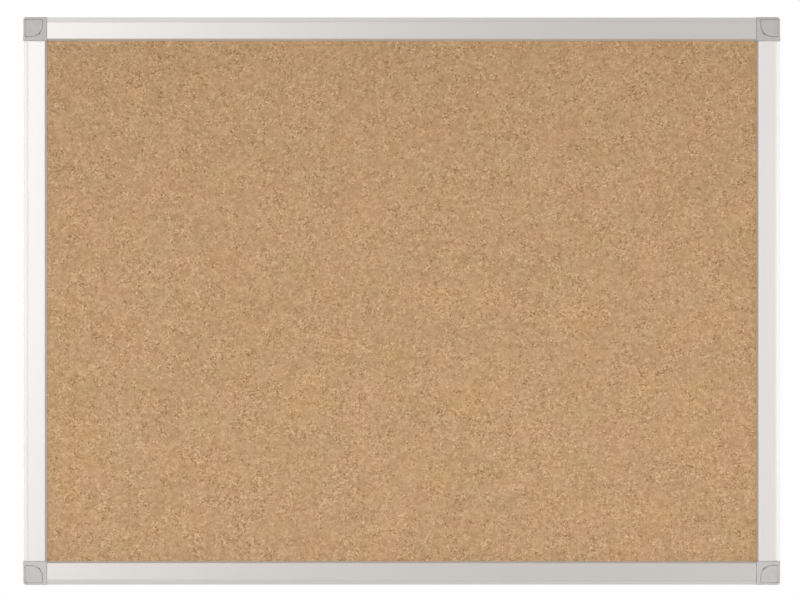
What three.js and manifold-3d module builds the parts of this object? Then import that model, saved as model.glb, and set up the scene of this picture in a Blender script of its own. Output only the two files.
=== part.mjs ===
// A framed cork pinboard for a wall. Four aluminium rails grip a cork-faced panel in their slots, and four
// plastic corner mouldings plug into the ends of the rails. Every corner moulding has a hole for a wall screw
// at the bottom of a square well, under a small hinged cover.
//
// The board is drawn face on, in millimetres: x runs to the right, y up, and z out from the wall, which is
// the plane z = 0. The last lines stand it up, so that the finished part has +Z up, its face towards -Y and
// its origin in the middle of the wall plane.

import * as THREE from "three";
import { mergeVertices } from "three/addons/utils/BufferGeometryUtils.js";
import Module from "manifold-3d";

const wasm = await Module();
wasm.setup();

// The whole board
const BOARD_WIDTH = 600;
const BOARD_HEIGHT = 450;
const FRAME_WIDTH = 19;

// The panel: three sheets glued face to face, held in the slots of the rails
const CORK_THICKNESS = 2;
const CORE_THICKNESS = 5;
const BACKING_THICKNESS = 1.8;
const GLUE_LINE = 0.1;
const SHEET_CORNER = 1;
const PANEL_PLAY = 0.25;
const PANEL_END_PLAY = 0.3;

// The shoulder that rails and corners share: their faces slope down to the outer edge
const SHOULDER_WIDTH = 4.4;
const SHOULDER_DROP = 1.3;
const SHOULDER_ROUND = 1;
const SHOULDER_BLEND = 0.6;

// The section of a rail
const RAIL_SETBACK = 0.3;
const RAIL_END_GAP = 0.2;
const RAIL_WALL = 1.2;
const RAIL_EASE = 0.3;
const WEB_THICKNESS = 1.1;
const WEB_FILLET = 0.4;
const SLOT_REACH = 6.7;
const LIP_HEIGHT = 2.7;
const BACK_FLANGE_REACH = 4.5;
const GROOVE_SLOPE = 0.6;
const GROOVE_DEPTH = 0.5;
const GROOVE_LAND = 0.35;
const GROOVE_STEP = 0.25;
const GROOVE_ROUND = 0.15;
const RIDGE_ROUND = 0.5;
const BROW_ROUND = 0.6;
const NOSE_LEAN = 1.7;
const NOSE_FOOT = 0.2;
const NOSE_FILLET = 0.6;

// The corner moulding, with a hollow leg for each of its two rails
const CORNER_ROUND = 3;
const CORNER_EASE = 0.3;
const CORE_WALL = 1.2;
const LEG_PLAY = 0.2;
const LEG_LENGTH = 32;
const LEG_POCKETS = 3;
const LEG_WALL = 1.5;
const LEG_CEILING = 2;
const LEG_END = 2;
const LEG_LEAD = 2;
const LEG_TAPER = 0.6;
const LEG_ROOT = 4;
const RIB_THICKNESS = 1.3;
const BOSS_RADIUS = 2.6;
const BOSS_RIB = 1;
const POCKET_ROUND = 0.5;

// The screw well in the corner moulding and the slotted hole in its floor
const WELL_WALL = 3.2;
const WELL_SIZE = 8.8;
const WELL_ROUND = 2.5;
const WELL_FLOOR = 4;
const WALL_SLOT_WIDTH = 5;
const WALL_SLOT_LENGTH = 8;

// The hinged cover, with a skirt that closes the well and a notch beside it for a fingernail
const COVER_MARGIN = 2.1;
const COVER_RIM = 3.5;
const COVER_THICKNESS = 1.4;
const COVER_GAP = 0.3;
const COVER_CORNER = 1.2;
const COVER_EASE = 0.8;
const COVER_ARC = 9;
const COVER_BREAK = 0.15;
const SKIRT_PLAY = 0.35;
const SKIRT_WALL = 1;
const SKIRT_DEPTH = 1.3;
const BEAD_PROUD = 0.2;
const BEAD_HEIGHT = 0.6;
const BEAD_LENGTH = 4;
const NOTCH_RADIUS = 1.1;

// The hinge between a cover and its moulding
const HINGE_INSET = 1.5;
const HINGE_DROP = 1;
const BARREL_RADIUS = 1.3;
const BARREL_PLAY = 0.2;
const EAR_THICKNESS = 1.5;
const PIN_RADIUS = 0.65;
const PIN_LENGTH = 1.2;
const PIN_PLAY = 0.09;

// The countersunk screws that hold the rails on the legs
const SCREW_RADIUS = 1.1;
const SCREW_HEAD_RADIUS = 2.1;
const SCREW_LENGTH = 8;
const SCREW_TIP = 1.2;
const SCREW_SINK = 0.1;
const SCREW_PLAY = 0.15;
const PILOT_SPARE = 0.6;
const CROSS_REACH = 1.2;
const CROSS_WIDTH = 0.5;
const CROSS_DEPTH = 0.6;

// How far cuts run past the material, how far a facet may lie from its curve, and how close points may be
const CUT_OVERRUN = 1;
const CURVE_TOLERANCE = 0.04;
const SAME_POINT = 0.001;

// Levels out from the wall
const panelThickness = BACKING_THICKNESS + CORE_THICKNESS + CORK_THICKNESS + 2 * GLUE_LINE;
const slotHeight = panelThickness + 2 * PANEL_PLAY;
const railDepth = RAIL_WALL + slotHeight + LIP_HEIGHT;
const boardDepth = railDepth + 2 * RAIL_SETBACK;
const slotFloor = RAIL_SETBACK + RAIL_WALL;
const slotCeiling = slotFloor + slotHeight;
const coverUnderside = boardDepth - COVER_THICKNESS;
const coverMiddle = boardDepth - COVER_THICKNESS / 2;
const recessFloor = coverUnderside - COVER_GAP;
const aboveFace = boardDepth + CUT_OVERRUN;
const belowBack = -CUT_OVERRUN;
const legBack = slotFloor + LEG_PLAY;
const legTop = RAIL_SETBACK + railDepth - RAIL_WALL - LEG_PLAY;
const pocketCeiling = legTop - LEG_CEILING;
const screwLevel = RAIL_SETBACK + SCREW_SINK;

// Places across a rail, from its outer face
const railWidth = FRAME_WIDTH - RAIL_SETBACK;
const webInner = railWidth - SLOT_REACH;
const webOuter = webInner - WEB_THICKNESS;
const chamberMiddle = (RAIL_WALL + webOuter) / 2;

// Places in from the edges of the board
const slotBottom = RAIL_SETBACK + webInner;
const panelInset = slotBottom + PANEL_END_PLAY;
const legMiddle = RAIL_SETBACK + chamberMiddle;
const pocketHalf = (webOuter - RAIL_WALL) / 2 - LEG_PLAY - LEG_WALL;
const pocketSides = [legMiddle - pocketHalf, legMiddle + pocketHalf];
const wellEnd = WELL_WALL + WELL_SIZE;
const wellMiddle = WELL_WALL + WELL_SIZE / 2;
const coverEnd = FRAME_WIDTH - COVER_RIM;
const recessStart = COVER_MARGIN - COVER_GAP;
const recessEnd = coverEnd + COVER_GAP;

// Places along a leg. It has a row of pockets, and its screw stands in the middle one.
const legEnd = FRAME_WIDTH + LEG_LENGTH;
const pocketLength = (LEG_LENGTH - LEG_END - (LEG_POCKETS - 1) * RIB_THICKNESS) / LEG_POCKETS;
const pocketStarts = Array.from({ length: LEG_POCKETS }, (_, index) =>
  FRAME_WIDTH + index * (pocketLength + RIB_THICKNESS));
const screwPocket = pocketStarts[Math.floor(LEG_POCKETS / 2)];
const screwAlong = screwPocket + pocketLength / 2;

// The hinge runs along y, just inside the outer side of the corner
const hingeLevel = coverUnderside - HINGE_DROP;
const hingeReach = BARREL_RADIUS + BARREL_PLAY;
const hingeCutEnd = HINGE_INSET + hingeReach + COVER_GAP;
const hingeCutFloor = hingeLevel - hingeReach;
const earFaces = [recessStart + EAR_THICKNESS, recessEnd - EAR_THICKNESS];
const barrelEnds = [earFaces[0] + BARREL_PLAY, earFaces[1] - BARREL_PLAY];
const pinEnds = [barrelEnds[0] - PIN_LENGTH, barrelEnds[1] + PIN_LENGTH];

// Finishes
const aluminium = new THREE.MeshStandardMaterial({ color: 0xd3d1cd, roughness: 0.38, metalness: 1 });
const cornerPlastic = new THREE.MeshStandardMaterial({ color: 0xbbb8b5, roughness: 0.55, metalness: 0 });
const coverPlastic = new THREE.MeshStandardMaterial({ color: 0xbdbab7, roughness: 0.5, metalness: 0 });
const cork = new THREE.MeshStandardMaterial({ color: 0xbc9971, roughness: 0.9, metalness: 0 });
const softboard = new THREE.MeshStandardMaterial({ color: 0xa8927a, roughness: 0.95, metalness: 0 });
const hardboard = new THREE.MeshStandardMaterial({ color: 0x7b5b40, roughness: 0.8, metalness: 0 });
const screwSteel = new THREE.MeshStandardMaterial({ color: 0xc4c4c2, roughness: 0.35, metalness: 1 });

// Steps for an arc, so that no facet lies further from it than the tolerance
function arcSteps(radius, turn) {
  const widest = 2 * Math.acos(Math.max(0, 1 - CURVE_TOLERANCE / radius));
  return Math.max(1, Math.ceil(turn / widest));
}

// A full turn has a multiple of four steps, so that it touches its own bounding square
function circleSteps(radius) {
  return 4 * arcSteps(radius, Math.PI / 2);
}

// An anticlockwise outline of straight edges with rounded corners, each given as [x, y, radius]. Where two
// arcs want more than the edge between them, they share it.
function roundedOutline(corners) {
  const spots = corners.map(([x, y]) => new THREE.Vector2(x, y));
  const count = spots.length;
  const edges = spots.map((spot, index) => spots[(index + 1) % count].clone().sub(spot));
  const turns = edges.map((edge, index) => {
    const before = edges.at(index - 1);
    return Math.atan2(before.cross(edge), before.dot(edge));
  });
  const wanted = corners.map(([, , radius], index) => radius * Math.tan(Math.abs(turns[index]) / 2));
  const fits = edges.map((edge, index) =>
    Math.min(1, edge.length() / (wanted[index] + wanted[(index + 1) % count])));

  const points = spots.flatMap((spot, index) => {
    const fit = Math.min(fits[index], fits.at(index - 1));
    const reach = wanted[index] * fit;
    if (!(reach > 0)) return [spot];
    const radius = corners[index][2] * fit;
    const direction = edges.at(index - 1).clone().normalize();
    const start = spot.clone().addScaledVector(direction, -reach);
    const side = new THREE.Vector2(-direction.y, direction.x).multiplyScalar(Math.sign(turns[index]));
    const centre = start.clone().addScaledVector(side, radius);
    const steps = arcSteps(radius, Math.abs(turns[index]));
    return Array.from({ length: steps + 1 }, (_, step) =>
      start.clone().rotateAround(centre, (turns[index] * step) / steps));
  });
  return points.filter((point, index) => point.distanceTo(points.at(index - 1)) > SAME_POINT);
}

function rectangle([left, right], [low, high], radius = 0) {
  return roundedOutline([
    [left, low, radius],
    [right, low, radius],
    [right, high, radius],
    [left, high, radius],
  ]);
}

// Closed meshes become solids that can be joined and cut, and solids become meshes again
function solidOf(geometry) {
  geometry.deleteAttribute("normal");
  geometry.deleteAttribute("uv");
  const merged = mergeVertices(geometry);
  const positions = merged.getAttribute("position");
  return new wasm.Manifold(new wasm.Mesh({
    numProp: positions.itemSize,
    vertProperties: new Float32Array(positions.array),
    triVerts: new Uint32Array(merged.getIndex().array),
  }));
}

function geometryOf(solid) {
  const mesh = solid.getMesh();
  const geometry = new THREE.BufferGeometry();
  geometry.setAttribute("position", new THREE.BufferAttribute(mesh.vertProperties, mesh.numProp));
  geometry.setIndex(new THREE.BufferAttribute(mesh.triVerts, 1));
  geometry.computeVertexNormals();
  return geometry;
}

function joined(solids) {
  return solids.reduce((sum, solid) => sum.add(solid));
}

function cut(solid, tools) {
  return tools.reduce((rest, tool) => rest.subtract(tool), solid);
}

// An outline pushed along z. A bevel draws both ends in by bevelInset over bevelLength.
function extrusion(outline, [from, to], bevelLength = 0, bevelInset = bevelLength) {
  const geometry = new THREE.ExtrudeGeometry(new THREE.Shape(outline), {
    depth: to - from - 2 * bevelLength,
    bevelEnabled: bevelLength > 0,
    bevelThickness: bevelLength,
    bevelSize: bevelInset,
    bevelOffset: -bevelInset,
    bevelSegments: 1,
  });
  return geometry.translate(0, 0, from + bevelLength);
}

function prism(outline, levels, bevel) {
  return solidOf(extrusion(outline, levels, bevel));
}

// An outline drawn as [across, out from the wall], pushed along x or along y
const [xAxis, yAxis, zAxis] = [[1, 0, 0], [0, 1, 0], [0, 0, 1]].map((axis) => new THREE.Vector3(...axis));
const pushedAlong = {
  x: new THREE.Matrix4().makeBasis(yAxis, zAxis, xAxis),
  y: new THREE.Matrix4().makeBasis(xAxis, zAxis, yAxis.clone().negate()),
};

function sweep(axis, outline, [from, to], bevelLength, bevelInset) {
  const range = axis === "x" ? [from, to] : [-to, -from];
  const geometry = extrusion(outline, range, bevelLength, bevelInset);
  return solidOf(geometry.applyMatrix4(pushedAlong[axis]));
}

// A block on the leg that lies along x, or the same block on the leg that lies along y
function legBlock(axis, along, across, levels, radius) {
  const outline = axis === "x" ? rectangle(along, across, radius) : rectangle(across, along, radius);
  return prism(outline, levels);
}

function legPost(axis, radius, [from, to]) {
  const [x, y] = axis === "x" ? [screwAlong, legMiddle] : [legMiddle, screwAlong];
  return post(x, y, radius, [from, to]);
}

// Round bars: upright ones, and ones on the hinge's axis
function post(x, y, radius, [from, to]) {
  const geometry = new THREE.CylinderGeometry(radius, radius, to - from, circleSteps(radius));
  geometry.rotateX(Math.PI / 2).translate(x, y, (from + to) / 2);
  return solidOf(geometry);
}

function hingeBar(radius, [from, to]) {
  const geometry = new THREE.CylinderGeometry(radius, radius, to - from, circleSteps(radius));
  return solidOf(geometry.translate(HINGE_INSET, (from + to) / 2, hingeLevel));
}

// A profile of [radius, level], turned about the z axis
function turned(profile, steps) {
  const points = profile.map(([radius, level]) => new THREE.Vector2(radius, level));
  return new THREE.LatheGeometry(points, steps).rotateX(Math.PI / 2);
}

// Rail: outer wall and shoulder, groove, flat face, a brow with a small round, a steep nose with a lip on
// the cork, slot for the panel, web and back flange. The nose has the same wall all the way down.
function railSection() {
  const lipLevel = railDepth - LIP_HEIGHT;
  const grooveInner = SHOULDER_WIDTH - RAIL_SETBACK;
  const grooveBottom = grooveInner - GROOVE_SLOPE;
  const flangeEnd = webInner + BACK_FLANGE_REACH;
  const brow = railWidth - NOSE_LEAN;
  const noseAngle = Math.atan2(LIP_HEIGHT - NOSE_FOOT, NOSE_LEAN);
  const noseWall = RAIL_WALL / Math.sin(noseAngle);
  const noseInner = brow + RAIL_WALL / Math.tan(noseAngle) - noseWall;
  return roundedOutline([
    [0, 0, RAIL_EASE],
    [flangeEnd, 0, RAIL_EASE],
    [flangeEnd, RAIL_WALL, RAIL_EASE],
    [webInner, RAIL_WALL, WEB_FILLET],
    [webInner, railDepth - RAIL_WALL, WEB_FILLET],
    [noseInner, railDepth - RAIL_WALL, NOSE_FILLET],
    [railWidth - noseWall, lipLevel, RAIL_EASE],
    [railWidth, lipLevel, 0],
    [railWidth, lipLevel + NOSE_FOOT, 0],
    [brow, railDepth, BROW_ROUND],
    [grooveInner, railDepth, RIDGE_ROUND],
    [grooveBottom, railDepth - GROOVE_DEPTH, GROOVE_ROUND],
    [grooveBottom - GROOVE_LAND, railDepth - GROOVE_STEP, GROOVE_ROUND],
    [0, railDepth - SHOULDER_DROP, SHOULDER_ROUND],
  ]);
}

// The hollow of the rail, which is also the section of a leg once it is drawn in by the leg's play
function chamberOutline(play) {
  const outer = RAIL_WALL + play;
  const inner = webOuter - play;
  const floor = RAIL_WALL + play;
  const ceiling = railDepth - RAIL_WALL - play;
  return roundedOutline([
    [outer, floor, 0],
    [inner, floor, 0],
    [inner, ceiling, 0],
    [outer + SHOULDER_WIDTH, ceiling, 0],
    [outer, ceiling - SHOULDER_DROP, 0],
  ]);
}

// A countersunk hole through the back wall of a rail
function screwHole(along) {
  const rim = SCREW_HEAD_RADIUS + SCREW_PLAY;
  const bore = SCREW_RADIUS + SCREW_PLAY;
  const through = RAIL_WALL + CUT_OVERRUN;
  const profile = [[0, belowBack], [rim, belowBack], [rim, 0], [bore, rim - bore], [bore, through], [0, through]];
  return solidOf(turned(profile, circleSteps(rim)).translate(along, chamberMiddle, 0));
}

// A rail lies along x, with its outer face at y = 0 and its back at z = 0
function railSolid(length) {
  const half = length / 2;
  const hollow = sweep("x", chamberOutline(0), [-half - CUT_OVERRUN, half + CUT_OVERRUN]);
  const screwPlace = half + FRAME_WIDTH + RAIL_END_GAP - screwAlong;
  return cut(sweep("x", railSection(), [-half, half]), [hollow, screwHole(-screwPlace), screwHole(screwPlace)]);
}

// The outer faces of a corner, shouldered along both outer sides. Its own corner is at x = 0, y = 0.
function cornerHull() {
  const beyond = FRAME_WIDTH + CUT_OVERRUN;
  const section = roundedOutline([
    [0, belowBack, 0],
    [beyond, belowBack, 0],
    [beyond, boardDepth, 0],
    [SHOULDER_WIDTH, boardDepth, SHOULDER_BLEND],
    [0, boardDepth - SHOULDER_DROP, SHOULDER_ROUND],
  ]);
  const range = [-CUT_OVERRUN, beyond];
  return sweep("x", section, range).intersect(sweep("y", section, range));
}

function cornerBlock() {
  const plan = roundedOutline([
    [0, 0, CORNER_ROUND],
    [FRAME_WIDTH, 0, 0],
    [FRAME_WIDTH, FRAME_WIDTH, 0],
    [0, FRAME_WIDTH, 0],
  ]);
  return prism(plan, [0, boardDepth], CORNER_EASE).intersect(cornerHull());
}

// The outline of the cover, which grows by a gap for the recess that it lies in
function coverOutline(gap) {
  const start = COVER_MARGIN - gap;
  const end = coverEnd + gap;
  return roundedOutline([
    [start, start, COVER_CORNER + gap],
    [end, start, COVER_EASE + gap],
    [end, end, COVER_ARC + gap],
    [start, end, COVER_EASE + gap],
  ]);
}

function wellOutline(inset) {
  const side = [WELL_WALL + inset, wellEnd - inset];
  return rectangle(side, side, Math.max(0, WELL_ROUND - inset));
}

// A leg is open at the back, with ribs between its pockets and a ribbed boss for its screw
function legForm(axis) {
  const outline = chamberOutline(LEG_PLAY).map((point) => point.addScalar(RAIL_SETBACK));
  return sweep(axis, outline, [FRAME_WIDTH - LEG_ROOT, legEnd], LEG_LEAD, LEG_TAPER);
}

function legPockets(axis) {
  const core = [wellEnd + CORE_WALL, FRAME_WIDTH - CORE_WALL];
  const pockets = pocketStarts.map((start) => [start, start + pocketLength]);
  return [core, ...pockets].map((along) =>
    legBlock(axis, along, pocketSides, [belowBack, pocketCeiling], POCKET_ROUND));
}

function legBoss(axis) {
  const levels = [legBack, pocketCeiling + LEG_CEILING / 2];
  const across = [pocketSides[0] - LEG_WALL / 2, pocketSides[1] + LEG_WALL / 2];
  const along = [screwPocket - RIB_THICKNESS / 2, screwPocket + pocketLength + RIB_THICKNESS / 2];
  return joined([
    legPost(axis, BOSS_RADIUS, levels),
    legBlock(axis, [screwAlong - BOSS_RIB / 2, screwAlong + BOSS_RIB / 2], across, levels),
    legBlock(axis, along, [legMiddle - BOSS_RIB / 2, legMiddle + BOSS_RIB / 2], levels),
  ]);
}

function legPilot(axis) {
  const pilotEnd = screwLevel + SCREW_LENGTH + PILOT_SPARE;
  return legPost(axis, SCREW_RADIUS + SCREW_PLAY, [legBack - CUT_OVERRUN, pilotEnd]);
}

// The well for the wall screw, the recess for the cover and the notch for a fingernail
function wellCuts() {
  const slotAcross = [wellMiddle - WALL_SLOT_WIDTH / 2, wellMiddle + WALL_SLOT_WIDTH / 2];
  const slotAlong = [wellMiddle - WALL_SLOT_LENGTH / 2, wellMiddle + WALL_SLOT_LENGTH / 2];
  const slot = rectangle(slotAcross, slotAlong, WALL_SLOT_WIDTH / 2);
  const notchPlace = coverEnd - COVER_ARC + COVER_ARC * Math.SQRT1_2;
  return [
    prism(wellOutline(0), [WELL_FLOOR, aboveFace]),
    prism(slot, [belowBack, WELL_FLOOR + CUT_OVERRUN]),
    prism(coverOutline(COVER_GAP), [recessFloor, aboveFace]),
    post(notchPlace, notchPlace, NOTCH_RADIUS, [recessFloor, aboveFace]),
  ];
}

// The outer wall is cut down for the hinge's barrel, and an ear stands at either end of the cut
function hingeCut() {
  return prism(rectangle([-CUT_OVERRUN, hingeCutEnd], [recessStart, recessEnd]), [hingeCutFloor, aboveFace]);
}

function hingeEars() {
  const [left, right] = [HINGE_INSET - BARREL_RADIUS, HINGE_INSET + BARREL_RADIUS];
  const foot = hingeCutFloor - CUT_OVERRUN;
  const top = hingeLevel + BARREL_RADIUS;
  const profile = roundedOutline([
    [left, foot, 0],
    [right, foot, 0],
    [right, top, BARREL_RADIUS],
    [left, top, BARREL_RADIUS],
  ]);
  return [
    sweep("y", profile, [recessStart - CUT_OVERRUN, earFaces[0]]),
    sweep("y", profile, [earFaces[1], recessEnd + CUT_OVERRUN]),
  ];
}

function cornerSolid() {
  const block = cornerBlock();
  const panelCorner = [slotBottom, FRAME_WIDTH + CUT_OVERRUN];
  const axes = ["x", "y"];
  const hollow = cut(joined([block, ...axes.map(legForm)]), [
    ...axes.flatMap(legPockets),
    prism(rectangle(panelCorner, panelCorner), [slotFloor, slotCeiling]),
    ...wellCuts(),
    hingeCut(),
  ]);
  const ears = joined(hingeEars()).intersect(block);
  const pinHole = hingeBar(PIN_RADIUS + PIN_PLAY, [pinEnds[0] - PIN_PLAY, pinEnds[1] + PIN_PLAY]);
  return cut(joined([hollow, ...axes.map(legBoss), ears]), [...axes.map(legPilot), pinHole]);
}

// The cover: a plate with the corner's own shoulders, a skirt for the well, and the barrel of its hinge
function coverPlate() {
  const plate = prism(coverOutline(0), [coverUnderside, boardDepth], COVER_BREAK).intersect(cornerHull());
  return cut(plate, [
    hingeBar(hingeReach, [recessStart, barrelEnds[0]]),
    hingeBar(hingeReach, [barrelEnds[1], recessEnd]),
  ]);
}

function coverSkirt() {
  const bottom = coverUnderside - SKIRT_DEPTH;
  const face = wellEnd - SKIRT_PLAY;
  const root = face - SKIRT_WALL / 2;
  const ring = cut(prism(wellOutline(SKIRT_PLAY), [bottom, coverMiddle]), [
    prism(wellOutline(SKIRT_PLAY + SKIRT_WALL), [bottom - CUT_OVERRUN, coverUnderside]),
  ]);
  const bead = roundedOutline([
    [root, bottom, 0],
    [face, bottom, 0],
    [face + BEAD_PROUD, bottom + BEAD_HEIGHT / 2, 0],
    [face, bottom + BEAD_HEIGHT, 0],
    [root, bottom + BEAD_HEIGHT, 0],
  ]);
  return ring.add(sweep("y", bead, [wellMiddle - BEAD_LENGTH / 2, wellMiddle + BEAD_LENGTH / 2]));
}

function coverSolid() {
  const web = rectangle([COVER_MARGIN + COVER_BREAK, HINGE_INSET + hingeReach], barrelEnds);
  return joined([
    coverPlate(),
    coverSkirt(),
    prism(web, [hingeLevel, coverMiddle]),
    hingeBar(BARREL_RADIUS, barrelEnds),
    hingeBar(PIN_RADIUS, pinEnds),
  ]);
}

// A countersunk screw with a cross in its head, which is at z = 0 with the point towards +z
function screwSolid() {
  const profile = [
    [0, 0],
    [SCREW_HEAD_RADIUS, 0],
    [SCREW_RADIUS, SCREW_HEAD_RADIUS - SCREW_RADIUS],
    [SCREW_RADIUS, SCREW_LENGTH - SCREW_TIP],
    [0, SCREW_LENGTH],
  ];
  const reach = [-CROSS_REACH, CROSS_REACH];
  const width = [-CROSS_WIDTH / 2, CROSS_WIDTH / 2];
  const depth = [belowBack, CROSS_DEPTH];
  return cut(solidOf(turned(profile, circleSteps(SCREW_HEAD_RADIUS))), [
    prism(rectangle(reach, width), depth),
    prism(rectangle(width, reach), depth),
  ]);
}

function sheetGeometry(level, thickness) {
  const halfWidth = BOARD_WIDTH / 2 - panelInset;
  const halfHeight = BOARD_HEIGHT / 2 - panelInset;
  const outline = rectangle([-halfWidth, halfWidth], [-halfHeight, halfHeight], SHEET_CORNER);
  return extrusion(outline, [level, level + thickness]);
}

// The assembly
const board = new THREE.Group();

function addPart(parent, name, geometry, material) {
  const part = new THREE.Mesh(geometry, material);
  part.name = name;
  parent.add(part);
  return part;
}

const backingLevel = slotFloor + PANEL_PLAY;
const coreLevel = backingLevel + BACKING_THICKNESS + GLUE_LINE;
const corkLevel = coreLevel + CORE_THICKNESS + GLUE_LINE;
addPart(board, "hardboard_back", sheetGeometry(backingLevel, BACKING_THICKNESS), hardboard);
addPart(board, "softboard_core", sheetGeometry(coreLevel, CORE_THICKNESS), softboard);
addPart(board, "cork_sheet", sheetGeometry(corkLevel, CORK_THICKNESS), cork);

const rails = [
  { name: "rail_bottom", span: BOARD_WIDTH, reach: BOARD_HEIGHT },
  { name: "rail_right", span: BOARD_HEIGHT, reach: BOARD_WIDTH },
  { name: "rail_top", span: BOARD_WIDTH, reach: BOARD_HEIGHT },
  { name: "rail_left", span: BOARD_HEIGHT, reach: BOARD_WIDTH },
];
rails.forEach(({ name, span, reach }, quarterTurns) => {
  const side = new THREE.Group();
  side.rotation.z = (quarterTurns * Math.PI) / 2;
  board.add(side);
  const length = span - 2 * (FRAME_WIDTH + RAIL_END_GAP);
  const rail = addPart(side, name, geometryOf(railSolid(length)), aluminium);
  rail.position.set(0, RAIL_SETBACK - reach / 2, RAIL_SETBACK);
});

// The corners are made in two hands, so that every cover is hinged on its outer upright side
const cornerGeometry = geometryOf(cornerSolid());
const coverGeometry = geometryOf(coverSolid());
const screwGeometry = geometryOf(screwSolid());
for (const [height, up] of [["top", 1], ["bottom", -1]]) {
  for (const [side, right] of [["left", -1], ["right", 1]]) {
    const corner = new THREE.Group();
    corner.position.set((right * BOARD_WIDTH) / 2, (up * BOARD_HEIGHT) / 2, 0);
    corner.scale.set(-right, -up, 1);
    board.add(corner);
    addPart(corner, `corner_${height}_${side}`, cornerGeometry, cornerPlastic);
    addPart(corner, `cover_${height}_${side}`, coverGeometry, coverPlastic);
    const levelScrew = addPart(corner, `screw_rail_${height}_${side}`, screwGeometry, screwSteel);
    levelScrew.position.set(screwAlong, legMiddle, screwLevel);
    const uprightScrew = addPart(corner, `screw_rail_${side}_${height}`, screwGeometry, screwSteel);
    uprightScrew.position.set(legMiddle, screwAlong, screwLevel);
  }
}

// Stand the board up on its lower edge, facing -Y
board.rotation.x = Math.PI / 2;

export default board;
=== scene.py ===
# %% [markdown]
# # A framed cork pinboard
# This is a cork board of 600 by 450 mm. Four satin aluminium rails hold a thin sandwich of cork, softboard
# and hardboard. A grey plastic moulding joins the rails at each corner, and a small hinged cover in it hides
# the screw that hangs the board on the wall.
# The measured parts come ready made from the CAD model, which is loaded here as a fixed frame. Everything is
# in metres, the board hangs in the XZ plane, its face looks towards -Y and the wall is at Y = 0.
# %% Load the frame
import math

import bpy
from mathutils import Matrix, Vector


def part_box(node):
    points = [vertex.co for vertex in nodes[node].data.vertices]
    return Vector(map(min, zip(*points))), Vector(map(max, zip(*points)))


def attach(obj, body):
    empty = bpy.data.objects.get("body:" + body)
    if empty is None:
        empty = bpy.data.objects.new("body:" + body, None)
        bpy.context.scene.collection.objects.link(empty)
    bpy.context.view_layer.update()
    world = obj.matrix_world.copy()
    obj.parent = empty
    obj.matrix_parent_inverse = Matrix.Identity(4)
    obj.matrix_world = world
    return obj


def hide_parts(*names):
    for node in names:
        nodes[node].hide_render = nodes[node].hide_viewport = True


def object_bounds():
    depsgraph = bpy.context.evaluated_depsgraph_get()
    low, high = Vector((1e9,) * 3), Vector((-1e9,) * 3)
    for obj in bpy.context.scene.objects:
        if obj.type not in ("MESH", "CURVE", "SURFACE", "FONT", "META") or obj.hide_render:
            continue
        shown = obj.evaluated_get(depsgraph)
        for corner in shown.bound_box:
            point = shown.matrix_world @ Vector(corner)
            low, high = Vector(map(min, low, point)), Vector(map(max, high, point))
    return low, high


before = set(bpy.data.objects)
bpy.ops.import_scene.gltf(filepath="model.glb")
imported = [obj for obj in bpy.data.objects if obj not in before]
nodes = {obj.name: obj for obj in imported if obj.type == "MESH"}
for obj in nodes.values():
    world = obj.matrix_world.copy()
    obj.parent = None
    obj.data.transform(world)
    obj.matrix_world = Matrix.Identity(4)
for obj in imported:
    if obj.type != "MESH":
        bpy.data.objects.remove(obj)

cad_low, cad_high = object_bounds()
MM = 0.001
print("CAD box in mm:", [round(side / MM, 1) for side in cad_high - cad_low])

# %% [markdown]
# ## The camera
# The photograph looks straight at the board and shows hardly any perspective. A camera close by would need
# a wide lens and show the inner sides of the frame, so this one stands three metres off with a long lens.
# One pixel of the photograph is 0.792 mm of the board, which sets the lens. The board sits more than a pixel
# to the right of the picture's middle and a pixel below it. The camera moves by as much the other way and
# doesn't turn, which keeps the view square to the board.
# %% Set up the camera
PHOTO_WIDTH_PX = 800
BOARD_CENTRE_OFF_PX = (1.67, 1.05)      # to the right, and down
PIXEL = 0.7917 * MM
CAMERA_DISTANCE = 3.0
SENSOR_MM = 36.0

camera_data = bpy.data.cameras.new("camera")
camera = bpy.data.objects.new("camera", camera_data)
bpy.context.scene.collection.objects.link(camera)
camera_data.sensor_width = SENSOR_MM
field = PHOTO_WIDTH_PX * PIXEL
camera_data.lens = SENSOR_MM * (CAMERA_DISTANCE + cad_low.y) / field
camera.location = (-BOARD_CENTRE_OFF_PX[0] * PIXEL, -CAMERA_DISTANCE, BOARD_CENTRE_OFF_PX[1] * PIXEL)
camera.rotation_euler = (math.pi / 2, 0, 0)
bpy.context.scene.camera = camera
print("lens in mm:", round(camera_data.lens, 1))

# %% [markdown]
# ## Node helpers
# Materials are built from nodes. They could be wired by hand in the shader editor, but code can be read and
# run again. Three short helpers keep it short. The first adds a node and either sets an input or links it,
# depending on what it is given. The others do the same for a sum and for a change of range.
# %% Helpers for node trees
def node(tree, kind, inputs=None, **settings):
    """Adds one node. A socket among the inputs is linked, and a number or colour is set."""
    new = tree.nodes.new(kind)
    for name, value in settings.items():
        setattr(new, name, value)
    for name, value in (inputs or {}).items():
        if isinstance(value, bpy.types.NodeSocket):
            tree.links.new(value, new.inputs[name])
        else:
            new.inputs[name].default_value = value
    return new


def calc(tree, operation, *values):
    """One Math node, and its result."""
    return node(tree, "ShaderNodeMath", dict(enumerate(values)), operation=operation).outputs[0]


def remap(tree, value, low, high, to_low, to_high):
    """A value taken from one range to another, and held within it."""
    inputs = {"Value": value, "From Min": low, "From Max": high, "To Min": to_low, "To Max": to_high}
    return node(tree, "ShaderNodeMapRange", inputs).outputs["Result"]


# %% [markdown]
# ## Studio
# The photograph has a pure white background and soft light with no hard shadow. A white wall behind the
# board could give that white, but it would need so much light of its own that the board's edges would glow.
# Here it comes from the world, which the camera and mirror-like surfaces see at strength 1. Diffuse surfaces
# get a lower level from it, and large lamps give the rest, so that a colour renders about as it is written.
# %% World
WHITE = (1.0, 1.0, 1.0, 1.0)
AMBIENT = 0.51

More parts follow.
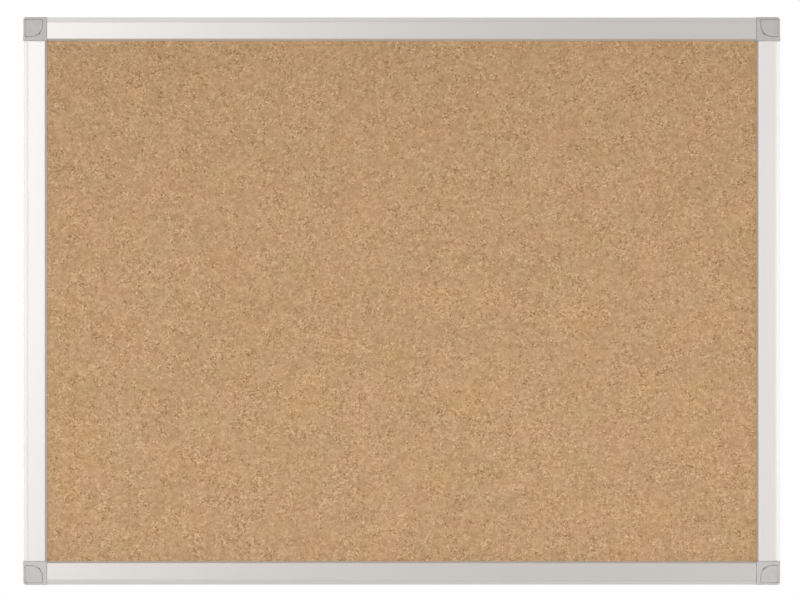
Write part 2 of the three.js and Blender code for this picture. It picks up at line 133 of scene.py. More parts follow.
world = bpy.data.worlds.new("studio")
bpy.context.scene.world = world
world.use_nodes = True
tree = world.node_tree
tree.nodes.clear()
rays = node(tree, "ShaderNodeLightPath")
seen = calc(tree, "MAXIMUM", rays.outputs["Is Camera Ray"], rays.outputs["Is Glossy Ray"])
seen = calc(tree, "MAXIMUM", seen, rays.outputs["Is Transmission Ray"])
level = remap(tree, seen, 0.0, 1.0, AMBIENT, 1.0)
sky = node(tree, "ShaderNodeBackground", {"Color": WHITE, "Strength": level})
node(tree, "ShaderNodeOutputWorld", {"Surface": sky.outputs[0]})
print("the world lights diffuse surfaces at", AMBIENT)

# %% [markdown]
# ## Lamps
# Satin metal shows where the lamps are, as soft bright and grey stretches along each rail. The rails of the
# real board are brightest at the left and fade to the right. One large lamp can't give that, so there are
# many smaller ones, each with its own strength. Eight softboxes stand in front of the board and beside it.
# Three more are for the rounded noses of the rails: one wide at the right, one over and one under the board.
# The last two stand behind the board's plane, where they reach only its outer edges.
# %% Softboxes
BOARD_MIDDLE = Vector((0.0, 0.0, 0.0))
# name, place, width, height, strength
SOFTBOXES = (
    ("left_high", (-1.0, -2.4, 0.9), 0.6, 0.9, 2.47),
    ("left_level", (-1.0, -2.4, 0.0), 0.6, 0.9, 4.05),
    ("left_low", (-1.0, -2.4, -0.9), 0.6, 0.7, 1.19),
    ("middle_high", (-0.4, -2.4, 0.9), 0.6, 0.9, 2.27),
    ("right_level", (1.6, -2.4, 0.0), 0.6, 0.9, 2.18),
    ("right_low", (1.0, -2.4, -0.9), 0.6, 0.7, 2.66),
    ("left_side", (-2.3, -1.6, 0.0), 0.8, 1.4, 1.98),
    ("right_side", (2.3, -1.6, 0.0), 0.8, 1.4, 1.94),
    ("right_wide", (2.3, -0.9, 0.0), 1.0, 1.6, 0.7),
    ("over", (0.0, -0.1, 1.4), 2.0, 0.6, 0.9),
    ("under", (0.0, -0.3, -1.2), 2.0, 0.6, 0.7),
    ("left_behind", (-2.2, 0.9, 0.0), 1.2, 1.6, 3.2),
    ("right_behind", (2.2, 0.9, 0.0), 1.2, 1.6, 1.9),
)


def softbox(name, place, width, height, strength):
    """A large rectangular lamp that points at the board's middle. Strength is the light it sends out."""
    data = bpy.data.lights.new(name, "AREA")
    data.shape = "RECTANGLE"
    data.size = width
    data.size_y = height
    data.energy = strength * width * height * math.pi
    lamp = bpy.data.objects.new(name, data)
    bpy.context.scene.collection.objects.link(lamp)
    lamp.location = place
    lamp.rotation_euler = (BOARD_MIDDLE - Vector(place)).to_track_quat("-Z", "Y").to_euler()


for name, place, width, height, strength in SOFTBOXES:
    softbox("softbox_" + name, place, width, height, strength)
print(len(SOFTBOXES), "softboxes")

# %% [markdown]
# ## Floor
# The board hangs on a wall and the photograph shows no floor. A pale disc well under the board stands for it
# and takes the board's shadow. It fades to the white of the background, so it has no edge.
# %% Floor disc
FLOOR_DROP = 1.1
FLOOR_RADIUS = 2.6
FLOOR_CORNERS = 96

def deselect_all():
    """Nothing stays selected, so that an operator acts only on what is picked next."""
    if bpy.context.object and bpy.context.object.mode != "OBJECT":
        bpy.ops.object.mode_set(mode="OBJECT")
    bpy.ops.object.select_all(action="DESELECT")


deselect_all()
bpy.ops.mesh.primitive_circle_add(
    vertices=FLOOR_CORNERS, radius=FLOOR_RADIUS, fill_type="NGON", location=(0, 0, cad_low.z - FLOOR_DROP)
)
floor = bpy.context.object
floor.name = "floor"
print("the floor is", FLOOR_DROP, "m below the board")

# %% Floor material
FLOOR_COLOUR = (0.86, 0.86, 0.86, 1.0)
FLOOR_ROUGHNESS = 0.8
FADE_STARTS, FADE_ENDS = 0.45 * FLOOR_RADIUS, 0.95 * FLOOR_RADIUS

def new_material(name):
    """A material with nodes, its tree and its Principled BSDF."""
    material = bpy.data.materials.new(name)
    material.use_nodes = True
    tree = material.node_tree
    return material, tree, tree.nodes["Principled BSDF"]


material, tree, shader = new_material("pale floor")
shader.inputs["Base Color"].default_value = FLOOR_COLOUR
shader.inputs["Roughness"].default_value = FLOOR_ROUGHNESS
place = node(tree, "ShaderNodeTexCoord").outputs["Object"]
reach = node(tree, "ShaderNodeVectorMath", {0: place}, operation="LENGTH").outputs["Value"]
fade = remap(tree, reach, FADE_STARTS, FADE_ENDS, 0.0, 1.0)
rays = node(tree, "ShaderNodeLightPath")
share = calc(tree, "MULTIPLY", fade, rays.outputs["Is Camera Ray"])
share = calc(tree, "MAXIMUM", share, rays.outputs["Is Glossy Ray"])
glow = node(tree, "ShaderNodeEmission", {"Color": WHITE, "Strength": 1.0})
mixed = node(tree, "ShaderNodeMixShader", {0: share, 1: shader.outputs[0], 2: glow.outputs[0]})
tree.links.new(mixed.outputs[0], tree.nodes["Material Output"].inputs["Surface"])
floor.data.materials.append(material)
print("floor material:", material.name)

# %% [markdown]
# ## Cork
# Pinboard cork is cut from a block of granules pressed together with a binder. The granules are 1 to 3 mm
# across and nearly all one warm tan, and differ mostly in how light they are. A plain noise would be the
# short way, but it has no edges and looks like felt. Voronoi cells of three sizes make the granules instead,
# because each cell has one tone and a crisp edge, as a cut granule has. Their edges give thin dark seams,
# which are broken up because the binder shows only here and there. The middles of other cells give deep
# pits, and a fine noise gives the pores. The place is stirred a little first, which makes the straight edges
# of the cells ragged.
# %% Helpers for patterns
def fine_noise(tree, vector, size, **inputs):
    """A noise without finer detail, whose blobs are about as wide as the size. The result is about 0."""
    inputs = {"Vector": vector, "Scale": 1.0 / size, "Detail": 0.0, **inputs}
    return calc(tree, "SUBTRACT", node(tree, "ShaderNodeTexNoise", inputs).outputs["Fac"], 0.5)


def cells(tree, vector, size, **settings):
    """Voronoi cells of about the size given."""
    return node(tree, "ShaderNodeTexVoronoi", {"Vector": vector, "Scale": 1.0 / size}, **settings)


def cell_tone(tree, vector, size):
    """One tone for each Voronoi cell, from -0.5 to 0.5."""
    colour = cells(tree, vector, size).outputs["Color"]
    return calc(tree, "SUBTRACT", node(tree, "ShaderNodeSeparateColor", {0: colour}).outputs["Red"], 0.5)


def add_shares(tree, total, parts):
    """A total to which each value is added in its share."""
    for value, share in parts:
        total = calc(tree, "MULTIPLY_ADD", value, share, total)
    return total


# %% Helpers for groups
def new_group(name, inputs, outputs):
    """An empty shader group with named sockets. Returns the group, its input node and its output node."""
    group = bpy.data.node_groups.new(name, "ShaderNodeTree")
    for socket_name, kind, value in inputs:
        socket = group.interface.new_socket(socket_name, in_out="INPUT", socket_type=kind)
        if value is not None:
            socket.default_value = value
    for socket_name, kind in outputs:
        group.interface.new_socket(socket_name, in_out="OUTPUT", socket_type=kind)
    return group, node(group, "NodeGroupInput"), node(group, "NodeGroupOutput")


def scaled_and_moved(tree, vector, scale, offset):
    """A vector times a vector, plus a vector."""
    return node(tree, "ShaderNodeVectorMath", {0: vector, 1: scale, 2: offset},
                operation="MULTIPLY_ADD").outputs[0]


# %% Granule group
GRANULE = 2.3 * MM
LARGE_GRANULE = 1.4 * GRANULE
SMALL_GRANULE = 0.43 * GRANULE
BINDER_SPACING = 1.6 * GRANULE
PIT_SPACING = 0.7 * GRANULE
PORE = 0.3 * MM
STIR_SCALE = 480.0
STIR_REACH = (1.2 * MM, 1.2 * MM, 1.2 * MM)
SEAM_WIDTH = 0.08                       # as a share of a cell
PIT_FLOOR, PIT_RIM = 0.05, 0.13         # distances from the cell's middle, as shares of a cell
FAINT_SEAM, FULL_SEAM = 0.1, 1.0

granules, source, result = new_group(
    "cork granules",
    [("Vector", "NodeSocketVector", None)],
    [("Tone", "NodeSocketFloat"), ("Height", "NodeSocketFloat")],
)
flat = source.outputs["Vector"]
stir = node(granules, "ShaderNodeTexNoise", {"Vector": flat, "Scale": STIR_SCALE, "Detail": 2.0})
about_zero = node(granules, "ShaderNodeVectorMath", {0: stir.outputs["Color"], 1: (0.5, 0.5, 0.5)},
                  operation="SUBTRACT").outputs[0]
stirred = scaled_and_moved(granules, about_zero, STIR_REACH, flat)

large = cell_tone(granules, stirred, LARGE_GRANULE)
middle = cell_tone(granules, stirred, GRANULE)
small = cell_tone(granules, stirred, SMALL_GRANULE)
edge = cells(granules, stirred, GRANULE, feature="DISTANCE_TO_EDGE").outputs["Distance"]
binder = remap(granules, fine_noise(granules, flat, BINDER_SPACING), -0.12, 0.14, FAINT_SEAM, FULL_SEAM)
seam = calc(granules, "MULTIPLY", remap(granules, edge, 0.0, SEAM_WIDTH, 1.0, 0.0), binder)
from_middle = cells(granules, stirred, PIT_SPACING).outputs["Distance"]
pit = remap(granules, from_middle, PIT_FLOOR, PIT_RIM, 1.0, 0.0)
pores = fine_noise(granules, flat, PORE, Detail=3.0, Roughness=0.7)
print("granules are", round(GRANULE / MM, 1), "mm across")

# %% [markdown]
# ## The tones of the granules
# Most small granules are close to the mean tone, and a few are very dark or very light. A ramp with many
# stops could sort them, but the fifth power of an even spread does it in one go. Some regions of the sheet
# are busier than others, and the sheet as a whole drifts slowly between lighter and darker. All patterns are
# then added up, each in its own share. The pits are darkened as painted shade. The surface is worn down in
# the seams, pits and pores, so these count in the height as well.
# %% Granule tones
FLECK = 0.75 * GRANULE
BUSY_REGION, CLUMP, DRIFT = 3.2 * GRANULE, 3.5 * GRANULE, 8.7 * GRANULE
CALMEST, BUSIEST = 0.35, 1.65
FLECK_SHARE = 0.44
MEAN_TONE = 0.545

twice = calc(granules, "MULTIPLY", small, 2.0)
square = calc(granules, "MULTIPLY", twice, twice)
speck = calc(granules, "MULTIPLY", calc(granules, "MULTIPLY", square, square), twice)
fleck = calc(granules, "ADD", speck, fine_noise(granules, flat, FLECK))
busy = remap(granules, fine_noise(granules, flat, BUSY_REGION), -0.2, 0.2, CALMEST, BUSIEST)
flecked = calc(granules, "MULTIPLY", calc(granules, "MULTIPLY", fleck, FLECK_SHARE), busy)
clumps = fine_noise(granules, flat, CLUMP)
drift = fine_noise(granules, flat, DRIFT)
# the pits take away from the tone as painted shade
tone = add_shares(granules, flecked, (
    (large, 0.14), (middle, 0.21), (clumps, 0.09), (drift, 0.085), (seam, -0.22), (pores, 0.3), (pit, -0.3),
))
height = add_shares(granules, middle, ((seam, -0.8), (small, 0.5), (pores, 0.9), (pit, -0.9)))
granules.links.new(calc(granules, "ADD", tone, MEAN_TONE), result.inputs["Tone"])
granules.links.new(height, result.inputs["Height"])
print("nodes in the granule group:", len(granules.nodes))

# %% [markdown]
# ## The colour of the cork
# A colour of its own for each granule would look like terrazzo. The tone runs through one ramp instead,
# from dark brown bark to pale tan, and a slow noise shifts the hue a little between red and yellow, because
# no two pieces of bark are quite alike. The sheet is darkened towards its upper edge as painted shade, for
# light that is weaker there. The real sheet shows no dark line along the rails, so a narrow strip there is
# made a little paler as painted light, which makes up for the shade of their lips.
# %% Helpers for colours
def blend_colours(tree, factor, first, second, how="MIX"):
    """Two colours blended by a factor. The Mix node keeps its colours in inputs 6 and 7 and output 2."""
    mix = node(tree, "ShaderNodeMix", {0: factor}, data_type="RGBA", blend_type=how)
    for socket, value in ((mix.inputs[6], first), (mix.inputs[7], second)):
        if isinstance(value, bpy.types.NodeSocket):
            tree.links.new(value, socket)
        else:
            socket.default_value = value
    return mix.outputs[2]


def scaled(tree, colour, factor):
    """A colour or vector times one number."""
    return node(tree, "ShaderNodeVectorMath", {0: colour, "Scale": factor}, operation="SCALE").outputs[0]


# %% Cork colour
CORK_DARK = (0.286, 0.155, 0.064, 1.0)
CORK_MIDDLE = (0.497, 0.311, 0.166, 1.0)
CORK_LIGHT = (0.697, 0.467, 0.277, 1.0)
HUE_SCALE = 42.0
HUE_RANGE = (0.15, 0.0, 0.26)
HUE_START = (0.934, 1.0, 0.834)

cork_low, cork_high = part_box("cork_sheet")
cork, tree, shader = new_material("granulated cork")
place = node(tree, "ShaderNodeTexCoord").outputs["Object"]
grain = node(tree, "ShaderNodeGroup", node_tree=granules)
tree.links.new(place, grain.inputs["Vector"])
ramp = node(tree, "ShaderNodeValToRGB", {"Fac": grain.outputs["Tone"]})
ramp.color_ramp.elements[0].color = CORK_DARK
ramp.color_ramp.elements[1].color = CORK_LIGHT
ramp.color_ramp.elements.new(0.5).color = CORK_MIDDLE
patches = node(tree, "ShaderNodeTexNoise",
               {"Vector": place, "Scale": HUE_SCALE, "Detail": 3.0, "Roughness": 0.65}).outputs["Color"]
hue = scaled_and_moved(tree, patches, HUE_RANGE, HUE_START)
tinted = blend_colours(tree, 1.0, ramp.outputs["Color"], hue, "MULTIPLY")
print("cork colours:", len(ramp.color_ramp.elements))

# %% Cork painted shade at the top and painted light along the rails
CORK_LEVEL = 1.005
TOP_PAINTED_SHADE = -0.095
RAIL_PAINTED_LIGHT = 1.07
STRIP_STARTS, STRIP_ENDS = 0.6 * MM, 3.2 * MM

axes = node(tree, "ShaderNodeSeparateXYZ", {0: place})
# painted shade: the cork is darkened towards its upper edge
painted_shade_rise = calc(tree, "POWER", remap(tree, axes.outputs["Z"], cork_low.z, cork_high.z, 0.0, 1.0), 3.0)
painted_top_shade = calc(tree, "MULTIPLY_ADD", painted_shade_rise, TOP_PAINTED_SHADE, CORK_LEVEL)
open_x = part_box("rail_right")[0].x
open_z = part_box("rail_top")[0].z
inside_x = calc(tree, "SUBTRACT", open_x, calc(tree, "ABSOLUTE", axes.outputs["X"]))
inside_z = calc(tree, "SUBTRACT", open_z, calc(tree, "ABSOLUTE", axes.outputs["Z"]))
inside = calc(tree, "MINIMUM", inside_x, inside_z)
# painted light: a strip along the rails is made paler to make up for the shade of their lips
rail_painted_light = remap(tree, inside, STRIP_STARTS, STRIP_ENDS, RAIL_PAINTED_LIGHT, 1.0)
cork_painted_light_and_shade = scaled(tree, tinted, calc(tree, "MULTIPLY", painted_top_shade, rail_painted_light))
tree.links.new(cork_painted_light_and_shade, shader.inputs["Base Color"])
print("the rails leave open, in mm:", round(2 * open_x / MM, 1), "by", round(2 * open_z / MM, 1))

# %% Cork surface
CORK_ROUGHNESS = 0.85
CORK_SPECULAR = 0.25
CORK_BUMP = 0.12 * MM
CORK_BUMP_STRENGTH = 0.7

shader.inputs["Roughness"].default_value = CORK_ROUGHNESS
shader.inputs["Specular IOR Level"].default_value = CORK_SPECULAR
bump = node(tree, "ShaderNodeBump",
            {"Height": grain.outputs["Height"], "Distance": CORK_BUMP, "Strength": CORK_BUMP_STRENGTH})
tree.links.new(bump.outputs[0], shader.inputs["Normal"])
print("cork bump in mm:", round(CORK_BUMP / MM, 2))

# %% [markdown]
# ## The cork sheet
# The real sheet is sliced 2 mm thick and sanded, and its face keeps a low relief, because hard and soft
# granules sand down by different amounts. A bump in the material alone would leave the sheet itself as flat
# as glass, so a fine grid takes the larger lumps of that relief with Displace modifiers. The face only goes
# down from its true height, so the lips of the rails still sit on it. The rim and the back are extruded from
# the grid's edge and filled.
# %% Cork grid
GRID_CELL = 1.72 * MM

def start_piece(name, node_name, body):
    """Names the piece just made, puts it on its body and lets it stand for a CAD node."""
    piece = bpy.context.object
    piece.name = name
    piece.data.name = name
    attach(piece, body)
    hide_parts(node_name)
    return piece


deselect_all()
size = cork_high - cork_low
centre = (cork_high + cork_low) / 2
bpy.ops.mesh.primitive_grid_add(
    x_subdivisions=round(size.x / GRID_CELL), y_subdivisions=round(size.z / GRID_CELL), size=1,
    location=(centre.x, cork_low.y, centre.z), rotation=(math.pi / 2, 0, 0),
)
sheet = start_piece("granulated_cork_sheet", "cork_sheet", "root")
sheet.scale = (size.x, size.z, 1)
bpy.ops.object.transform_apply(location=True, rotation=True, scale=True)
print("points in the cork grid:", len(sheet.data.vertices))

# %% Cork relief
RELIEF = 0.09 * MM
# name, kind of texture, size in mm, share of the relief
RELIEF_TEXTURES = (("granule lumps", "VORONOI", 3.2, 0.6), ("sanding waves", "CLOUDS", 9.0, 0.4))

face_group = sheet.vertex_groups.new(name="face")
inner = [v.index for v in sheet.data.vertices
         if abs(v.co.x) < cork_high.x - GRID_CELL / 2 and abs(v.co.z) < cork_high.z - GRID_CELL / 2]
face_group.add(inner, 1.0, "REPLACE")
for name, kind, size_mm, share in RELIEF_TEXTURES:
    texture = bpy.data.textures.new(name, kind)
    texture.noise_scale = size_mm * MM
    wave = sheet.modifiers.new(name, "DISPLACE")
    wave.texture = texture
    wave.texture_coords = "LOCAL"
    wave.vertex_group = "face"
    wave.mid_level = 1.0
    wave.strength = share * RELIEF
    bpy.ops.object.modifier_apply(modifier=wave.name)
depths = [v.co.y - cork_low.y for v in sheet.data.vertices]
print("cork face relief in mm:", round(min(depths) / MM, 3), "to", round(max(depths) / MM, 3))

# %% Cork rim and back
CORK_SMOOTH_ANGLE = math.radians(35)

bpy.ops.object.mode_set(mode="EDIT")
bpy.ops.mesh.select_all(action="SELECT")
bpy.ops.mesh.region_to_loop()
bpy.ops.mesh.extrude_region_move(TRANSFORM_OT_translate={"value": (0, size.y, 0)})
bpy.ops.mesh.edge_face_add()
bpy.ops.mesh.select_all(action="SELECT")
bpy.ops.mesh.normals_make_consistent(inside=False)
bpy.ops.object.mode_set(mode="OBJECT")
bpy.ops.object.shade_smooth_by_angle(angle=CORK_SMOOTH_ANGLE)
sheet.data.materials.append(cork)
print("faces in the cork sheet:", len(sheet.data.polygons))

# %% [markdown]
# ## Finished copies of CAD pieces
# The rails, the mouldings and the covers could be modelled anew, but they have their exact shape in the CAD
# model already. Its meshes are loose triangles and look faceted. So a copy is merged, its flat faces are
# made whole again, and its curves are shaded smooth. Weighted normals then keep the flat faces flat up to
# their rounded edges.
# %% Finished copies
MERGE_WITHIN = 0.002 * MM
FLAT_WITHIN = math.radians(0.3)
SMOOTH_ANGLE = math.radians(30)

def finished_copy(name, new_name, body, material):
    """A copy of a CAD node with merged triangles, whole flat faces and smooth curves, in its material."""
    deselect_all()
    piece = bpy.data.objects.new(new_name, nodes[name].data.copy())
    bpy.context.scene.collection.objects.link(piece)
    piece.select_set(True)
    bpy.context.view_layer.objects.active = piece
    start_piece(new_name, name, body)
    bpy.ops.object.mode_set(mode="EDIT")
    bpy.ops.mesh.select_all(action="SELECT")
    bpy.ops.mesh.customdata_custom_splitnormals_clear()
    bpy.ops.mesh.remove_doubles(threshold=MERGE_WITHIN)
    bpy.ops.mesh.dissolve_limited(angle_limit=FLAT_WITHIN)
    bpy.ops.object.mode_set(mode="OBJECT")
    bpy.ops.object.shade_smooth_by_angle(angle=SMOOTH_ANGLE)
    level = piece.modifiers.new("flat faces", "WEIGHTED_NORMAL")
    level.keep_sharp = True
    bpy.ops.object.modifier_apply(modifier=level.name)
    piece.data.materials.clear()
    piece.data.materials.append(material)
    print(piece.name, len(piece.data.vertices), "points", len(piece.data.polygons), "faces")
    return piece


# %% [markdown]
# ## Satin aluminium
# The rails are extruded and silver anodised. The die leaves very fine straight lines along each bar, which
# spread a reflection across it. A plain rough metal would spread it evenly all round. Anisotropic reflection
# does it one way only, with its direction from a UV map that runs along each bar, which suits upright and
# level bars alike. Streaks in tone, roughness and height follow the same map.
# %% Drawn lines group
drawn_lines, source, result = new_group(
    "drawn lines",
    [("UV", "NodeSocketVector", None), ("Line Width", "NodeSocketFloat", 0.45 * MM),
     ("Line Length", "NodeSocketFloat", 80 * MM)],
    [("Streak", "NodeSocketFloat"), ("Cloud", "NodeSocketFloat")],
)
axes = node(drawn_lines, "ShaderNodeSeparateXYZ", {0: source.outputs["UV"]})
along = calc(drawn_lines, "DIVIDE", axes.outputs["X"], source.outputs["Line Length"])
across = calc(drawn_lines, "DIVIDE", axes.outputs["Y"], source.outputs["Line Width"])
stretched = node(drawn_lines, "ShaderNodeCombineXYZ", {0: along, 1: across}).outputs[0]
lines = node(drawn_lines, "ShaderNodeTexNoise",
             {"Vector": stretched, "Scale": 1.0, "Detail": 4.0, "Roughness": 0.65})
cloud = node(drawn_lines, "ShaderNodeTexNoise",
             {"Vector": source.outputs["UV"], "Scale": 45.0, "Detail": 3.0})
drawn_lines.links.new(lines.outputs["Fac"], result.inputs["Streak"])
drawn_lines.links.new(cloud.outputs["Fac"], result.inputs["Cloud"])
print("nodes in the drawn lines group:", len(drawn_lines.nodes))

# %% Aluminium material
ALUMINIUM_DARK = (0.480, 0.463, 0.443, 1.0)
ALUMINIUM_LIGHT = (0.541, 0.523, 0.500, 1.0)
SATIN_ROUGHNESS = 0.365
LINE_ROUGHNESS, CLOUD_ROUGHNESS = 0.05, 0.02
LINE_DEPTH = 0.004 * MM
ANISOTROPY = 0.7
ALONG_THE_BAR = 0.25                    # a quarter turn from the UV map's U

aluminium, tree, shader = new_material("satin aluminium")
drawn = node(tree, "ShaderNodeGroup", node_tree=drawn_lines)
tree.links.new(node(tree, "ShaderNodeUVMap", uv_map="grain").outputs[0], drawn.inputs["UV"])
tint = blend_colours(tree, drawn.outputs["Streak"], ALUMINIUM_DARK, ALUMINIUM_LIGHT)
tree.links.new(tint, shader.inputs["Base Color"])
rough = calc(tree, "MULTIPLY_ADD", drawn.outputs["Streak"], LINE_ROUGHNESS, SATIN_ROUGHNESS)
rough = calc(tree, "MULTIPLY_ADD", drawn.outputs["Cloud"], CLOUD_ROUGHNESS, rough)
tree.links.new(rough, shader.inputs["Roughness"])
shader.inputs["Metallic"].default_value = 1.0
shader.inputs["Anisotropic"].default_value = ANISOTROPY
shader.inputs["Anisotropic Rotation"].default_value = ALONG_THE_BAR
tangent = node(tree, "ShaderNodeTangent", direction_type="UV_MAP", uv_map="grain")
tree.links.new(tangent.outputs[0], shader.inputs["Tangent"])
bump = node(tree, "ShaderNodeBump",
            {"Height": drawn.outputs["Streak"], "Distance": LINE_DEPTH, "Strength": 0.4})
tree.links.new(bump.outputs[0], shader.inputs["Normal"])
print("aluminium roughness:", SATIN_ROUGHNESS, "and up")

# %% Rails
DEPTH_SHARE = 1.9                       # keeps the lines apart on faces that run into the depth
ALONG_X, ALONG_Z = (0, 2), (2, 0)       # the axis along the bar, then the one across it

def lay_grain(piece, along, across):
    """A UV map whose U runs along the bar in metres, and whose V runs across it and back."""
    grain = piece.data.uv_layers.new(name="grain")
    for loop in piece.data.loops:
        place = piece.data.vertices[loop.vertex_index].co
        grain.data[loop.index].uv = (place[along], place[across] + DEPTH_SHARE * place.y)


for side, axes in (("top", ALONG_X), ("bottom", ALONG_X), ("left", ALONG_Z), ("right", ALONG_Z)):
    rail = finished_copy("rail_" + side, "satin_rail_" + side, "root", aluminium)
    lay_grain(rail, *axes)

# %% [markdown]
# ## Moulded plastic
# The corner mouldings and their covers are light grey plastic with the fine dull texture that a spark-eroded
# mould leaves. Modelling that texture would take millions of faces, so a fine noise gives it as bump and
# roughness. A slow noise clouds the colour a little, as pigment does. The mouldings are made darker towards
# the top of the board and lighter below, as painted shade and painted light, because the light is weaker
# above.
# %% Moulded texture group
mould_texture, source, result = new_group(
    "mould texture",
    [("Vector", "NodeSocketVector", None), ("Grain Size", "NodeSocketFloat", 0.3 * MM)],
    [("Grain", "NodeSocketFloat"), ("Cloud", "NodeSocketFloat")],
)
per_metre = calc(mould_texture, "DIVIDE", 1.0, source.outputs["Grain Size"])
pits = node(mould_texture, "ShaderNodeTexNoise",
            {"Vector": source.outputs["Vector"], "Scale": per_metre, "Detail": 3.0, "Roughness": 0.65})
cloud = node(mould_texture, "ShaderNodeTexNoise",
             {"Vector": source.outputs["Vector"], "Scale": 110.0, "Detail": 3.0})
mould_texture.links.new(pits.outputs["Fac"], result.inputs["Grain"])
mould_texture.links.new(cloud.outputs["Fac"], result.inputs["Cloud"])
print("nodes in the mould texture group:", len(mould_texture.nodes))

# %% Plastic materials
PLASTIC_DARK = (0.450, 0.432, 0.418, 1.0)
PLASTIC_LIGHT = (0.520, 0.502, 0.487, 1.0)
PAINTED_LIGHT_BELOW, PAINTED_SHADE_ABOVE = 1.048, 0.938
PLASTIC_ROUGHNESS, GRAIN_ROUGHNESS = 0.34, 0.16
PLASTIC_BUMP = 0.13 * MM
PLASTIC_BUMP_STRENGTH = 0.9

def moulded_plastic(name):
    """Grey plastic with the mould's fine texture, clouded between two near tones, with painted shade at the
    top and painted light below.
    """
    material, tree, shader = new_material(name)
    place = node(tree, "ShaderNodeTexCoord").outputs["Object"]
    texture = node(tree, "ShaderNodeGroup", node_tree=mould_texture)
    tree.links.new(place, texture.inputs["Vector"])
    mottle = calc(tree, "MULTIPLY_ADD", texture.outputs["Grain"], 0.35, texture.outputs["Cloud"])
    clouded = blend_colours(tree, remap(tree, mottle, 0.42, 0.93, 0.0, 1.0), PLASTIC_DARK, PLASTIC_LIGHT)
    # painted shade and light: the plastic is darker towards the top of the board and lighter below
    upright = node(tree, "ShaderNodeSeparateXYZ", {0: place}).outputs["Z"]
    tone = remap(tree, upright, cad_low.z, cad_high.z, PAINTED_LIGHT_BELOW, PAINTED_SHADE_ABOVE)
    tree.links.new(scaled(tree, clouded, tone), shader.inputs["Base Color"])
    rough = calc(tree, "MULTIPLY_ADD", texture.outputs["Grain"], GRAIN_ROUGHNESS, PLASTIC_ROUGHNESS)
    tree.links.new(rough, shader.inputs["Roughness"])
    bump = node(tree, "ShaderNodeBump", {"Height": texture.outputs["Grain"], "Distance": PLASTIC_BUMP,
                                         "Strength": PLASTIC_BUMP_STRENGTH})
    tree.links.new(bump.outputs[0], shader.inputs["Normal"])
    return material


corner_plastic = moulded_plastic("grey corner plastic")
cover_plastic = moulded_plastic("grey cover plastic")
print("plastics:", corner_plastic.name, "and", cover_plastic.name)

# %% Corners and covers
for end in ("top_left", "top_right", "bottom_left", "bottom_right"):
    finished_copy("corner_" + end, "moulded_corner_" + end, "root", corner_plastic)
    finished_copy("cover_" + end, "hinged_cover_" + end, "lid_" + end, cover_plastic)

# %% [markdown]
# ## The back
# Behind the cork lie a soft fibre board that holds the pins and a thin sheet of hardboard. Both are pressed
# wood fibre, and single fibres would be far too many to model. A fine noise that is distorted until its
# blobs turn into strands stands for them. Hardboard has the imprint of the wire screen it was pressed on,
# which two crossed sine waves give.
# %% Pressed fibre group
pressed_fibre, source, result = new_group(
    "pressed fibre",
    [("Vector", "NodeSocketVector", None), ("Fibre", "NodeSocketFloat", 1.6 * MM)],
    [("Fibre", "NodeSocketFloat"), ("Speck", "NodeSocketFloat"), ("Cloud", "NodeSocketFloat")],
)
vector = source.outputs["Vector"]
per_metre = calc(pressed_fibre, "DIVIDE", 1.0, source.outputs["Fibre"])
slower = calc(pressed_fibre, "MULTIPLY", per_metre, 0.5)
sparser = calc(pressed_fibre, "MULTIPLY", per_metre, 0.4)
twist = node(pressed_fibre, "ShaderNodeTexNoise",
             {"Vector": vector, "Scale": slower, "Detail": 2.0, "Distortion": 1.5})
strands = node(pressed_fibre, "ShaderNodeTexNoise",
               {"Vector": vector, "Scale": per_metre, "Detail": 4.0, "Roughness": 0.65, "Distortion": 2.5})
specks = node(pressed_fibre, "ShaderNodeTexVoronoi", {"Vector": vector, "Scale": sparser})
speck = remap(pressed_fibre, specks.outputs["Distance"], 0.08, 0.2, 1.0, 0.0)
pressed_fibre.links.new(strands.outputs["Fac"], result.inputs["Fibre"])
pressed_fibre.links.new(speck, result.inputs["Speck"])
pressed_fibre.links.new(twist.outputs["Fac"], result.inputs["Cloud"])
print("nodes in the pressed fibre group:", len(pressed_fibre.nodes))

# %% Board materials
BOARD_SPECULAR = 0.3
BOARD_BUMP = 0.15 * MM
BOARD_BUMP_STRENGTH = 0.6
SPECK_SHARE = 0.35
SCREEN_HEIGHT, SCREEN_SHADE = 0.25, 0.22

def screen_waves(tree, place, pitch):
    """Two crossed waves, as the wires of a screen leave them, from -2 to 2."""
    axes = node(tree, "ShaderNodeSeparateXYZ", {0: place})
    turn = 2 * math.pi / pitch
    waves = [calc(tree, "SINE", calc(tree, "MULTIPLY", axes.outputs[axis], turn)) for axis in "XZ"]
    return calc(tree, "ADD", *waves)


def fibre_board(name, dark, light, speck_colour, rough, fibre_size, screen=None):
    """Pressed fibre between two tones, with specks, and with the imprint of a wire screen if asked."""
    material, tree, shader = new_material(name)
    place = node(tree, "ShaderNodeTexCoord").outputs["Object"]
    fibre = node(tree, "ShaderNodeGroup", {"Fibre": fibre_size}, node_tree=pressed_fibre)
    tree.links.new(place, fibre.inputs["Vector"])
    height = fibre.outputs["Fibre"]
    mixed = calc(tree, "MULTIPLY_ADD", fibre.outputs["Cloud"], 0.5, calc(tree, "MULTIPLY", height, 0.5))
    colour = blend_colours(tree, remap(tree, mixed, 0.35, 0.65, 0.0, 1.0), dark, light)
    specked = calc(tree, "MULTIPLY", fibre.outputs["Speck"], SPECK_SHARE)
    colour = blend_colours(tree, specked, colour, speck_colour)
    if screen:
        wires = screen_waves(tree, place, screen)
        height = calc(tree, "MULTIPLY_ADD", wires, SCREEN_HEIGHT, height)
        colour = blend_colours(tree, remap(tree, wires, -2.0, 2.0, SCREEN_SHADE, 0.0), colour, dark)
    tree.links.new(colour, shader.inputs["Base Color"])
    shader.inputs["Roughness"].default_value = rough
    shader.inputs["Specular IOR Level"].default_value = BOARD_SPECULAR
    bump = node(tree, "ShaderNodeBump",
                {"Height": height, "Distance": BOARD_BUMP, "Strength": BOARD_BUMP_STRENGTH})
    tree.links.new(bump.outputs[0], shader.inputs["Normal"])
    return material


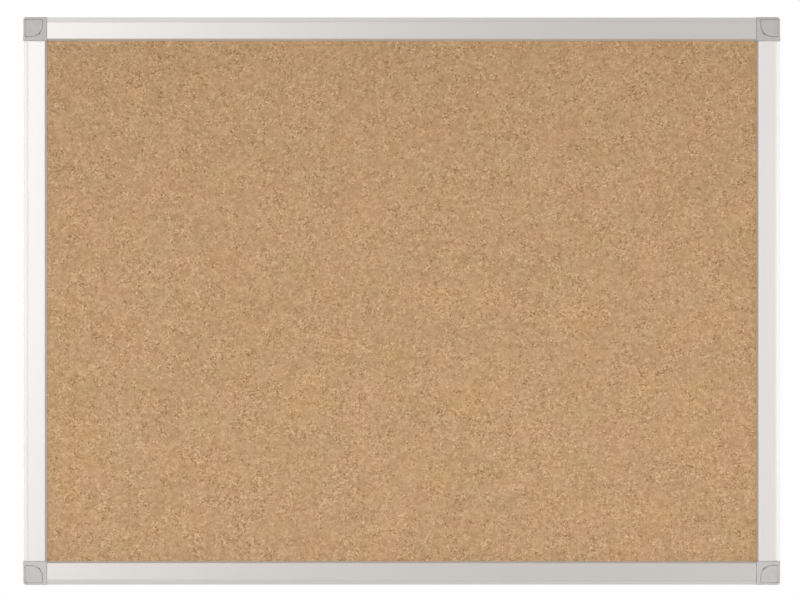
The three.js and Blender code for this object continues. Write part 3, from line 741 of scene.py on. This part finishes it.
# %% Hardboard and softboard
hardboard = fibre_board(
    "brown hardboard", dark=(0.115, 0.058, 0.029, 1.0), light=(0.235, 0.130, 0.068, 1.0),
    speck_colour=(0.42, 0.28, 0.16, 1.0), rough=0.62, fibre_size=1.6 * MM, screen=2.1 * MM,
)
softboard = fibre_board(
    "pale softboard", dark=(0.36, 0.27, 0.17, 1.0), light=(0.56, 0.45, 0.31, 1.0),
    speck_colour=(0.25, 0.17, 0.1, 1.0), rough=0.95, fibre_size=2.2 * MM,
)
nodes["hardboard_back"].material_slots[0].material = hardboard
nodes["softboard_core"].material_slots[0].material = softboard
print("boards:", hardboard.name, "and", softboard.name)

# %% [markdown]
# ## Screws
# Eight small countersunk screws hold the rails to the mouldings. Only their heads show, at the back, so they
# keep the CAD shape as it is. They are zinc plated steel, which is bright, a little cloudy and slightly
# blue. The mould texture group gives that cloud too, with larger grains.
# %% Plated steel
ZINC_BLUE = (0.50, 0.52, 0.55, 1.0)
ZINC_BRIGHT = (0.70, 0.70, 0.68, 1.0)
ZINC_SMOOTH, ZINC_DULL = 0.24, 0.4

plated, tree, shader = new_material("zinc plated steel")
place = node(tree, "ShaderNodeTexCoord").outputs["Object"]
texture = node(tree, "ShaderNodeGroup", {"Grain Size": 0.4 * MM}, node_tree=mould_texture)
tree.links.new(place, texture.inputs["Vector"])
zinc = blend_colours(tree, texture.outputs["Grain"], ZINC_BLUE, ZINC_BRIGHT)
tree.links.new(zinc, shader.inputs["Base Color"])
shader.inputs["Metallic"].default_value = 1.0
rough = remap(tree, texture.outputs["Grain"], 0.3, 0.7, ZINC_SMOOTH, ZINC_DULL)
tree.links.new(rough, shader.inputs["Roughness"])
screws = [piece for name, piece in nodes.items() if name.startswith("screw")]
for screw in screws:
    screw.material_slots[0].material = plated
print(len(screws), "plated screws")

# %% [markdown]
# ## Settings
# The plain Standard view shows colours as they are written.
# %% Settings
bpy.context.scene.view_settings.view_transform = "Standard"
